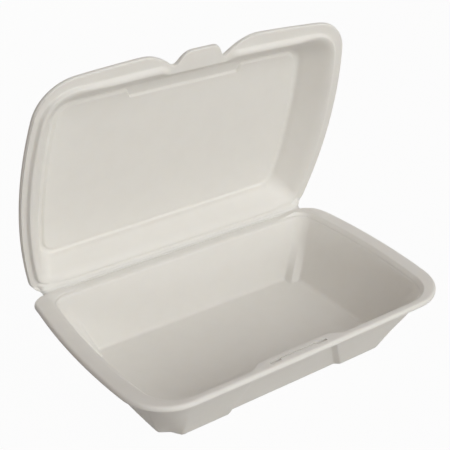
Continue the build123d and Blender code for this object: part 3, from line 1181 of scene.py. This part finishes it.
    def outer_rings(self) -> list[Ring]:
        """Rings up the outer walls and over the lid's top.

        Returns:
            The rings in order.
        """
        thick = self.sizes.wall
        rings = [self.ring(self.wall(height).inset(-thick), height) for height in self.outer_heights]
        for height, inset in (*self.crown, (self.top, self.crown_inset)):
            rings.append(self.ring(self.wall(height).inset(inset - thick), height))
        sunk = self.top - self.panel_sink
        for share in self.top_shares:
            outline = self.panel.inset(self.panel_margin + self.panel_run * share)
            rings.append(self.ring(outline, lerp(self.top, sunk, held(share)), self.bay_depth))
        for margin in self.top_margins:
            rings.append(self.ring(self.panel.inset(self.sunk_inset + margin), sunk, self.bay_depth))
        return rings

    def to_frame(self, point: Point) -> Vector:
        """Place in the frame, with the lid open, of a point of the shut lid.

        Args:
            point: The point, in millimetres.

        Returns:
            Its place, in metres.
        """
        angle = math.radians(self.sizes.open_angle)
        x, y, height = point
        rise = self.sizes.crease_z - y * math.sin(angle) + height * math.cos(angle)
        deep = self.sizes.crease_y + y * math.cos(angle) + height * math.sin(angle)
        return Vector((x, deep, rise)) * MM

    def build(self, material: bpy.types.Material) -> bpy.types.Object:
        """Models the lid and lets it stand for its solid.

        Args:
            material: The foam.

        Returns:
            The finished piece.
        """
        rings = self.inner_rings() + self.bead_rings() + self.rim_rings() + self.outer_rings()
        press = PressedShell("foam_lid", self.columns, rings)
        shell = press.press(self.to_frame)
        press.soften(shell)
        return finish_piece(shell, material, Body.LID)


@dataclass
class CreaseWeb:
    """Thin strip of pressed foam across the crease between the halves, curved to the open lid, in
    millimetres.
    """

    tray: Tray
    lid: Lid
    thickness: float = 0.6
    lap: float = 1.7  # how far it runs on to each half
    sink: float = 0.2  # how deep its middle lies in their slopes
    end_gap: float = 0.4  # how far it stops short of the crease's ends
    bend: Point = (0.0, 0.05, -0.1)  # middle of its curve, from the crease
    rows: int = 8
    stations: int = 40

    def build(self, material: bpy.types.Material) -> bpy.types.Object:
        """Models the strip across the crease and blends it between the two halves.

        Args:
            material: The foam.

        Returns:
            The finished piece.
        """
        box = self.tray.sizes
        half = self.lid.strip_half_length - self.end_gap
        slope = (box.crease_dip - box.seam / 2) / (box.crease_slope - box.seam / 2)
        rise = slope * (self.lap - box.seam / 2) - self.sink
        tray_end = Vector((0.0, -self.lap, rise - box.seam / 2))
        open_turn = Matrix.Rotation(-math.radians(box.open_angle), 3, "X")
        lid_end = open_turn @ Vector((0.0, -self.lap, box.seam / 2 + slope * self.lap + self.sink))
        crease = Vector((0.0, box.crease_y, box.crease_z))
        bend = Vector(self.bend)
        bpy.ops.object.select_all(action="DESELECT")
        bpy.ops.mesh.primitive_grid_add(x_subdivisions=self.stations, y_subdivisions=self.rows, size=1.0)
        strip = bpy.context.object
        strip.name = "crease_web"
        strip.data.name = strip.name
        for vertex in strip.data.vertices:
            share = vertex.co.y + 0.5
            line = tray_end * (1 - share) ** 2 + bend * 2 * share * (1 - share) + lid_end * share**2
            vertex.co = (crease + line + Vector((2 * half * vertex.co.x, 0.0, 0.0))) * MM
        thick = strip.modifiers.new("foam", "SOLIDIFY")
        thick.thickness = self.thickness * MM
        thick.offset = 0.0
        bpy.ops.object.modifier_apply(modifier=thick.name)
        bpy.ops.object.shade_smooth()
        strip.data.materials.append(material)
        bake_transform(strip)
        return strip


def shade(piece: bpy.types.Object, sharpest: float = 40.0) -> None:
    """Shades a piece smooth, with its cut edges left sharp.

    Args:
        piece: The piece.
        sharpest: Angle in degrees past which an edge stays sharp.
    """
    bpy.ops.object.select_all(action="DESELECT")
    piece.select_set(True)
    bpy.context.view_layer.objects.active = piece
    bpy.ops.object.shade_smooth_by_angle(angle=math.radians(sharpest))


def finish_piece(piece: bpy.types.Object, material: bpy.types.Material, body: Body) -> bpy.types.Object:
    """Dresses a half, lets it ride on its body and stand for its solid.

    Args:
        piece: The half.
        material: The foam.
        body: The body that it belongs to, which has the name of its solid.

    Returns:
        The same piece.
    """
    piece.data.materials.clear()
    piece.data.materials.append(material)
    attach(piece, body.value)
    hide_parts(body.value)
    return piece


def white_rays(tree: bpy.types.NodeTree) -> bpy.types.NodeSocket:
    """Adds the test for rays that see the surround as plain white.

    Args:
        tree: Where the nodes go.

    Returns:
        The socket that is 1 for the camera's rays, reflections and rays through clear things.
    """
    path = tree.nodes.new("ShaderNodeLightPath")
    seen = path.outputs["Is Camera Ray"]
    for name in ("Is Glossy Ray", "Is Transmission Ray"):
        either = tree.nodes.new("ShaderNodeMath")
        either.operation = "MAXIMUM"
        tree.links.new(seen, either.inputs[0])
        tree.links.new(path.outputs[name], either.inputs[1])
        seen = either.outputs["Value"]
    return seen


@dataclass(frozen=True)
class FloorFinish:
    """Matt floor that shows as almost white and keeps a faint shadow."""

    name: str = "pale_floor"
    colour: Colour = (0.34, 0.315, 0.29)
    roughness: float = 0.9
    white_share: float = 0.965

    def material(self) -> bpy.types.Material:
        """Material that mixes plain white with the lit floor.

        Returns:
            The new material.
        """
        material = bpy.data.materials.new(self.name)
        material.use_nodes = True
        nodes = material.node_tree.nodes
        link = material.node_tree.links.new
        matt = nodes["Principled BSDF"]
        set_inputs(matt, {"Base Color": (*self.colour, 1.0), "Roughness": self.roughness})
        white = nodes.new("ShaderNodeEmission")
        set_inputs(white, {"Color": WHITE})
        share = nodes.new("ShaderNodeMath")
        share.operation = "MULTIPLY"
        share.inputs[1].default_value = self.white_share
        link(white_rays(material.node_tree), share.inputs[0])
        mix = nodes.new("ShaderNodeMixShader")
        link(share.outputs["Value"], mix.inputs["Fac"])
        link(matt.outputs["BSDF"], mix.inputs[1])
        link(white.outputs["Emission"], mix.inputs[2])
        link(mix.outputs["Shader"], nodes["Material Output"].inputs["Surface"])
        return material


@dataclass(frozen=True)
class Surround:
    """World that shows as white and fills the shadows with a dim, warm light."""

    name: str = "surround"
    fill: Colour = (1.0, 0.83, 0.77)
    strength: float = 0.185

    def apply(self) -> None:
        """Makes the world and gives it to the scene."""
        world = bpy.data.worlds.new(self.name)
        world.use_nodes = True
        bpy.context.scene.world = world
        nodes = world.node_tree.nodes
        link = world.node_tree.links.new
        fill = nodes["Background"]
        set_inputs(fill, {"Color": (*self.fill, 1.0), "Strength": self.strength})
        seen = nodes.new("ShaderNodeBackground")
        set_inputs(seen, {"Color": WHITE, "Strength": 1.0})
        mix = nodes.new("ShaderNodeMixShader")
        link(white_rays(world.node_tree), mix.inputs["Fac"])
        link(fill.outputs["Background"], mix.inputs[1])
        link(seen.outputs["Background"], mix.inputs[2])
        link(mix.outputs["Shader"], nodes["World Output"].inputs["Surface"])


@dataclass(frozen=True)
class Lamp:
    """Soft square lamp: its place and the width of its face in metres, its power in watts."""

    name: str
    place: Point
    size: float
    power: float
    colour: Colour = (0.98, 1.0, 0.975)

    def add(self, target: Point) -> None:
        """Adds the lamp to the scene.

        Args:
            target: Where it points.
        """
        light = bpy.data.lights.new(self.name, "AREA")
        light.shape = "SQUARE"
        light.size = self.size
        light.energy = self.power
        light.color = self.colour
        lamp = bpy.data.objects.new(self.name, light)
        bpy.context.scene.collection.objects.link(lamp)
        lamp.location = self.place
        aim = Vector(target) - Vector(self.place)
        lamp.rotation_euler = aim.to_track_quat("-Z", "Y").to_euler()


@dataclass(frozen=True)
class Viewpoint:
    """Camera at the photograph's angle: angles in degrees, place in metres, sensor in millimetres."""

    azimuth: float = -35.77
    elevation: float = 28.89
    roll: float = 0.79
    focal_share: float = 997.15 / 450  # focal length over the picture's width
    place: Point = (-0.32733, -0.43795, 0.39743)
    sensor: float = 36.0
    nearest: float = 0.01

    def add(self) -> None:
        """Adds the camera and makes it the scene's own."""
        azimuth, elevation, roll = (math.radians(a) for a in (self.azimuth, self.elevation, self.roll))
        level = math.cos(elevation)
        back = Vector((math.sin(azimuth) * level, -math.cos(azimuth) * level, math.sin(elevation)))
        right = (-back).cross(Vector((0, 0, 1))).normalized()
        up = right.cross(-back)
        turned = math.cos(roll) * right + math.sin(roll) * up
        upright = -math.sin(roll) * right + math.cos(roll) * up
        lens = bpy.data.cameras.new("camera")
        lens.sensor_width = self.sensor
        lens.sensor_fit = "HORIZONTAL"
        lens.lens = self.focal_share * self.sensor
        lens.clip_start = self.nearest
        camera = bpy.data.objects.new("camera", lens)
        bpy.context.scene.collection.objects.link(camera)
        rows = [[turned[i], upright[i], back[i], self.place[i]] for i in range(3)]
        camera.matrix_world = Matrix([*rows, [0.0, 0.0, 0.0, 1.0]])
        bpy.context.scene.camera = camera


@dataclass
class Studio:
    """Camera, white surround, pale floor and soft lamps, in metres."""

    viewpoint: Viewpoint = Viewpoint()
    surround: Surround = Surround()
    floor_finish: FloorFinish = FloorFinish()
    floor_size: float = 16.0
    floor_drop: float = 0.0004  # keeps the floor off the underside
    target: Point = (0.0, 0.03, 0.06)
    lamps: tuple[Lamp, ...] = (
        Lamp("key", (0.08, -1.13, 0.86), 0.9, 6.9),
        Lamp("side", (0.64, -1.02, 0.74), 1.2, 6.2),
        Lamp("rear", (0.15, 1.45, 0.42), 1.0, 9.0),
        Lamp("left", (-0.80, -1.08, 0.05), 0.5, 4.4),
    )

    def floor(self) -> None:
        """Adds the pale floor."""
        bpy.ops.object.select_all(action="DESELECT")
        bpy.ops.mesh.primitive_plane_add(size=self.floor_size)
        floor = bpy.context.object
        floor.name = self.floor_finish.name
        floor.data.transform(Matrix.Translation((0.0, 0.0, -self.floor_drop)))
        floor.data.materials.append(self.floor_finish.material())

    def build(self) -> None:
        """Sets up the whole studio."""
        bpy.context.scene.view_settings.view_transform = "Standard"
        self.viewpoint.add()
        self.surround.apply()
        self.floor()
        for lamp in self.lamps:
            lamp.add(self.target)


def main() -> None:
    """Builds the studio and the box and reports each piece's face count."""
    logging.basicConfig(level=logging.INFO, format="%(name)s: %(message)s")
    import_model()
    Studio().build()
    foam = FoamFinish().material()
    sizes = BoxSizes()
    tray = Tray(sizes)
    lid = Lid(sizes)
    for piece in (tray.build(foam), lid.build(foam), CreaseWeb(tray, lid).build(foam)):
        LOG.info("%s: %d faces", piece.name, len(piece.data.polygons))


if __name__ == "__main__":
    main()
